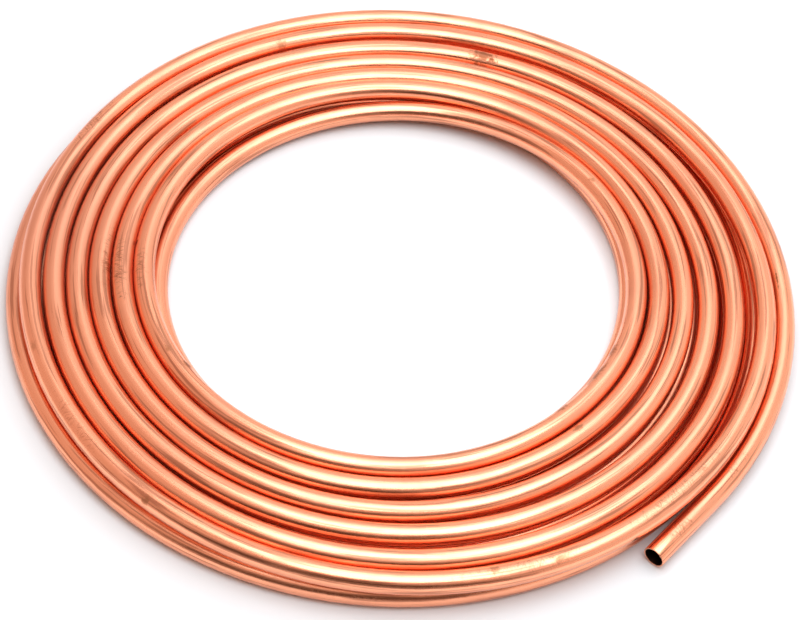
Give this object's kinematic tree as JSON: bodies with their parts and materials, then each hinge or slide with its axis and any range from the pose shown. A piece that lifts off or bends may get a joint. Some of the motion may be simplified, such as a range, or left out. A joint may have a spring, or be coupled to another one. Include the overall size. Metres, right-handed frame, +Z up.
{
  "type": "copper tube coil",
  "caption": "Flat two-layer coil of soft copper tube for water, gas or cooling lines, with one free end sprung clear of the turns.",
  "frame": {"origin": "on the floor under the coil, at the axis midway between the centres of the upper layer's half turns", "axes": "+Z up along the coil's axis, +Y to the back, away from the free end, +X to the right"},
  "size_m": [0.4676, 0.4547, 0.0257],
  "materials": {
    "copper": "bright satin drawn copper"
  },
  "bodies": {
    "root": {"copper_tube_coil": "copper"}
  },
  "joints": []
}
